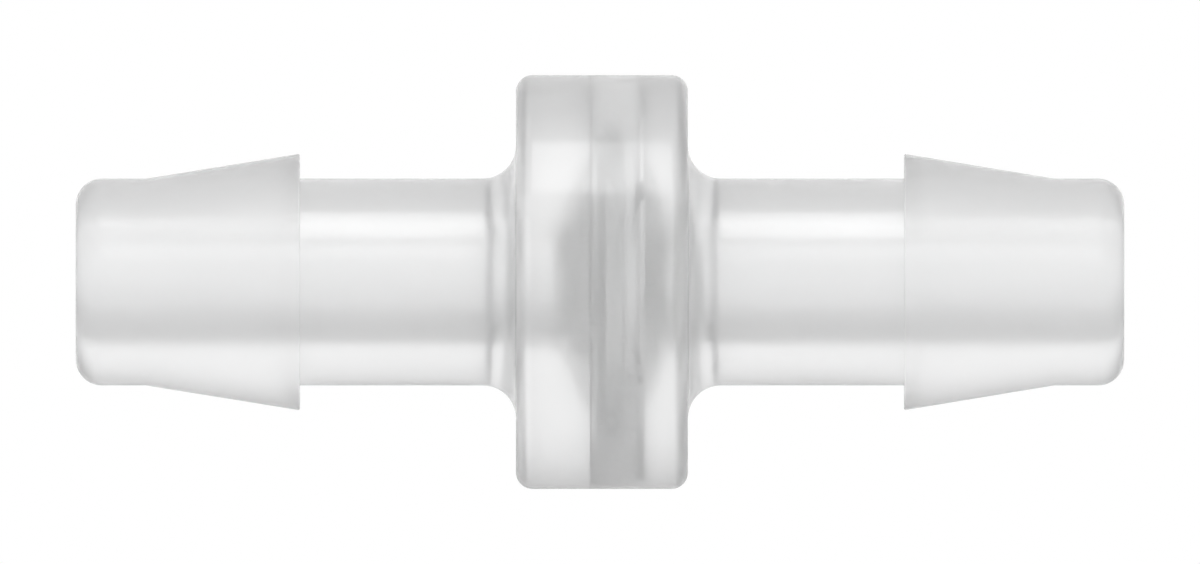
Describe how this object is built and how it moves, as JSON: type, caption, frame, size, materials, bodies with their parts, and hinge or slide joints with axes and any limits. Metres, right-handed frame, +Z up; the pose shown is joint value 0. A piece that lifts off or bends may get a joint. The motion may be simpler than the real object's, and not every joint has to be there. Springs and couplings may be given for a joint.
{
  "type": "barbed in-line check valve",
  "caption": "In-line diaphragm check valve: two moulded polypropylene halves with hose barbs, welded at a round hub that holds a loose silicone diaphragm.",
  "frame": {"origin": "on the flow axis, half way between the two port mouths", "axes": "+X along the flow, from the inlet to the outlet; +Z up; every turned surface is round about X"},
  "size_m": [0.0322, 0.0126, 0.0126],
  "materials": {
    "housing": "natural polypropylene, translucent milky white, satin from the mould",
    "diaphragm": "silicone, translucent off-white, soft satin"
  },
  "bodies": {
    "housing": {"inlet_body": "housing", "outlet_body": "housing"},
    "diaphragm": {"diaphragm": "diaphragm"}
  },
  "joints": [
    {"name": "diaphragm_lift", "type": "slide", "parent": "housing", "child": "diaphragm", "axis": [1, 0, 0], "range_m": [0, 0.0003]}
  ]
}
